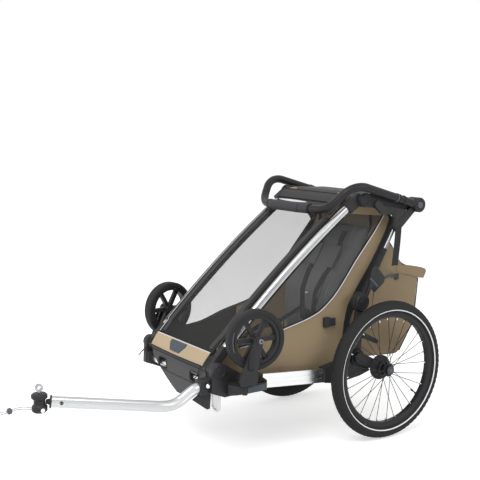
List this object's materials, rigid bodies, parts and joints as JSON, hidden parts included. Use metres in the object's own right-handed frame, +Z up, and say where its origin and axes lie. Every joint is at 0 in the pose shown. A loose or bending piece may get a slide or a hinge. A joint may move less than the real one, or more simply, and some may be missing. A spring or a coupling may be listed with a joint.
{
  "type": "child bike trailer",
  "caption": "Single-seat child bike trailer with a folding cabin frame, sprung spoked wheels, stored stroller wheels, turning handlebar and a tow arm with axle hitch.",
  "frame": {"origin": "on the ground, below the middle of the length from the hitch cup to the cargo bag", "axes": "+Z up, +Y to the rear of the trailer, so it travels towards -Y, +X to the trailer's left"},
  "size_m": [0.6546, 1.7073, 0.9256],
  "materials": {
    "aluminium": "polished anodised",
    "black_casting": "fine textured black",
    "black_metal": "satin black",
    "grey_plastic": "grey blue, slightly glossy",
    "wheel_plastic": "satin black",
    "tyre_rubber": "black rubber",
    "soft_rubber": "matte soft rubber",
    "tan_fabric": "tan woven polyester",
    "grey_fabric": "dark grey woven polyester",
    "dark_mesh": "fine dark mesh",
    "window_film": "tinted clear film",
    "webbing": "black webbing",
    "bright_steel": "bright zinc",
    "strut_metal": "dark silver"
  },
  "bodies": {
    "base": {"base_rails": "aluminium", "front_corner_left": "black_casting", "front_corner_right": "black_casting", "front_crossbar": "aluminium", "rear_corner_left": "black_casting", "rear_corner_right": "black_casting", "rear_crossbeam": "black_metal", "side_wings": "black_casting", "wing_reflectors": "grey_plastic", "nose_panel": "grey_fabric", "skid_plate": "black_casting", "stand_loop": "aluminium", "floor_tray": "grey_fabric", "hitch_receiver": "black_casting", "seat_pad": "grey_fabric", "tow_arm": "aluminium", "hitch_neck": "black_casting"},
    "receiver_pin": {"receiver_pin": "bright_steel"},
    "upper_frame": {"front_pillars": "aluminium", "pillar_feet": "black_casting", "top_castings": "black_casting", "roof_crossbar": "black_casting", "roof_panel": "dark_mesh", "front_cover": "dark_mesh", "side_panels": "tan_fabric", "side_windows": "window_film", "rear_panel": "tan_fabric", "seat_back": "grey_fabric", "harness": "webbing", "cargo_bag": "tan_fabric", "wrist_strap": "webbing"},
    "cover_hem": {"cover_hem": "tan_fabric"},
    "handlebar": {"handlebar": "black_metal", "handle_grip": "soft_rubber"},
    "strut_sleeves": {"strut_sleeves": "black_casting"},
    "strut_tubes": {"strut_tubes": "strut_metal"},
    "brake_lever": {"brake_lever": "black_casting"},
    "hitch_cup": {"hitch_cup": "soft_rubber", "hitch_bolt": "bright_steel", "lanyard": "bright_steel", "lanyard_bead": "grey_plastic"},
    "axle_eye": {"axle_eye": "bright_steel"},
    "hub_button_left": {"hub_button_left": "grey_plastic"},
    "suspension_arm_left": {"suspension_arm_left": "black_metal"},
    "wheel_left": {"hub_and_spokes_left": "black_metal", "rim_left": "black_metal", "tyre_left": "tyre_rubber"},
    "axle_button_left": {"axle_button_left": "grey_plastic"},
    "stroller_leg_left": {"stroller_leg_left": "black_casting"},
    "stroller_wheel_left": {"stroller_tyre_left": "tyre_rubber", "stroller_rim_left": "wheel_plastic"},
    "hub_button_right": {"hub_button_right": "grey_plastic"},
    "suspension_arm_right": {"suspension_arm_right": "black_metal"},
    "wheel_right": {"hub_and_spokes_right": "black_metal", "rim_right": "black_metal", "tyre_right": "tyre_rubber"},
    "axle_button_right": {"axle_button_right": "grey_plastic"},
    "stroller_leg_right": {"stroller_leg_right": "black_casting"},
    "stroller_wheel_right": {"stroller_tyre_right": "tyre_rubber", "stroller_rim_right": "wheel_plastic"}
  },
  "joints": [
    {"name": "frame_fold", "type": "hinge", "parent": "base", "child": "upper_frame", "pos_m": [0, -0.1997, 0.335], "axis": [-1, 0, 0], "range_deg": [0, 28.2], "deforming": ["side_panels", "side_windows", "rear_panel", "seat_back", "harness", "cargo_bag", "roof_panel"]},
    {"name": "strut_fold", "type": "hinge", "parent": "base", "child": "strut_sleeves", "pos_m": [0, 0.3973, 0.494], "axis": [-1, 0, 0], "range_deg": [0, 88.38]},
    {"name": "strut_slide", "type": "slide", "parent": "strut_sleeves", "child": "strut_tubes", "axis": [0, 0.5125, 0.8587], "range_m": [-0.0593, 0]},
    {"name": "cover_roll", "type": "slide", "parent": "upper_frame", "child": "cover_hem", "axis": [0, 0.7572, 0.6532], "range_m": [0, 0.56], "deforming": ["front_cover"]},
    {"name": "handlebar_turn", "type": "hinge", "parent": "upper_frame", "child": "handlebar", "pos_m": [0, 0.64229, 0.829], "axis": [-1, 0, 0], "range_deg": [0, 150]},
    {"name": "receiver_pin_slide", "type": "slide", "parent": "base", "child": "receiver_pin", "axis": [1, 0, 0], "range_m": [0, 0.045]},
    {"name": "brake_lever_turn", "type": "hinge", "parent": "base", "child": "brake_lever", "pos_m": [0.245, 0.4003, 0.374], "axis": [-1, 0, 0], "range_deg": [0, 25]},
    {"name": "hitch_roll", "type": "hinge", "parent": "base", "child": "hitch_cup", "pos_m": [0.08499, -0.7473, 0.28701], "axis": [-0.342, -0.9323, 0.1178], "range_deg": [-45, 45]},
    {"name": "hitch_swivel", "type": "hinge", "parent": "hitch_cup", "child": "axle_eye", "pos_m": [0.08499, -0.7473, 0.28701], "axis": [0, 0, 1], "range_deg": [-60, 60]},
    {"name": "hub_button_left_press", "type": "slide", "parent": "handlebar", "child": "hub_button_left", "axis": [-1, 0, 0], "range_m": [0, 0.005], "stiffness_N_per_m": 800, "springref_m": -0.004},
    {"name": "suspension_left", "type": "hinge", "parent": "base", "child": "suspension_arm_left", "pos_m": [0.245, 0.37429, 0.298], "axis": [1, 0, 0], "range_deg": [0, 10], "stiffness_Nm_per_rad": 160, "springref_deg": -5.73},
    {"name": "wheel_left_spin", "type": "hinge", "parent": "suspension_arm_left", "child": "wheel_left", "pos_m": [0.2945, 0.4723, 0.25], "axis": [1, 0, 0], "continuous": true},
    {"name": "axle_button_left_press", "type": "slide", "parent": "wheel_left", "child": "axle_button_left", "axis": [-1, 0, 0], "range_m": [0, 0.004], "stiffness_N_per_m": 800, "springref_m": -0.004},
    {"name": "stroller_leg_left_swivel", "type": "hinge", "parent": "base", "child": "stroller_leg_left", "pos_m": [0.285, -0.1297, 0.3], "axis": [0, 0, 1], "range_deg": [-15, 15]},
    {"name": "stroller_wheel_left_spin", "type": "hinge", "parent": "stroller_leg_left", "child": "stroller_wheel_left", "pos_m": [0.29051, -0.09413, 0.434], "axis": [0.9882, -0.153, 0], "continuous": true},
    {"name": "hub_button_right_press", "type": "slide", "parent": "handlebar", "child": "hub_button_right", "axis": [1, 0, 0], "range_m": [0, 0.005], "stiffness_N_per_m": 800, "springref_m": -0.004},
    {"name": "suspension_right", "type": "hinge", "parent": "base", "child": "suspension_arm_right", "pos_m": [-0.245, 0.37429, 0.298], "axis": [1, 0, 0], "range_deg": [0, 10], "stiffness_Nm_per_rad": 160, "springref_deg": -5.73},
    {"name": "wheel_right_spin", "type": "hinge", "parent": "suspension_arm_right", "child": "wheel_right", "pos_m": [-0.2945, 0.4723, 0.25], "axis": [1, 0, 0], "continuous": true},
    {"name": "axle_button_right_press", "type": "slide", "parent": "wheel_right", "child": "axle_button_right", "axis": [1, 0, 0], "range_m": [0, 0.004], "stiffness_N_per_m": 800, "springref_m": -0.004},
    {"name": "stroller_leg_right_swivel", "type": "hinge", "parent": "base", "child": "stroller_leg_right", "pos_m": [-0.285, -0.1297, 0.3], "axis": [0, 0, 1], "range_deg": [-15, 15]},
    {"name": "stroller_wheel_right_spin", "type": "hinge", "parent": "stroller_leg_right", "child": "stroller_wheel_right", "pos_m": [-0.29051, -0.09413, 0.434], "axis": [0.9882, 0.153, 0], "continuous": true}
  ],
  "couplings": [
    {"joint": "strut_fold", "follows": "frame_fold", "ratio": 3.1336}
  ]
}
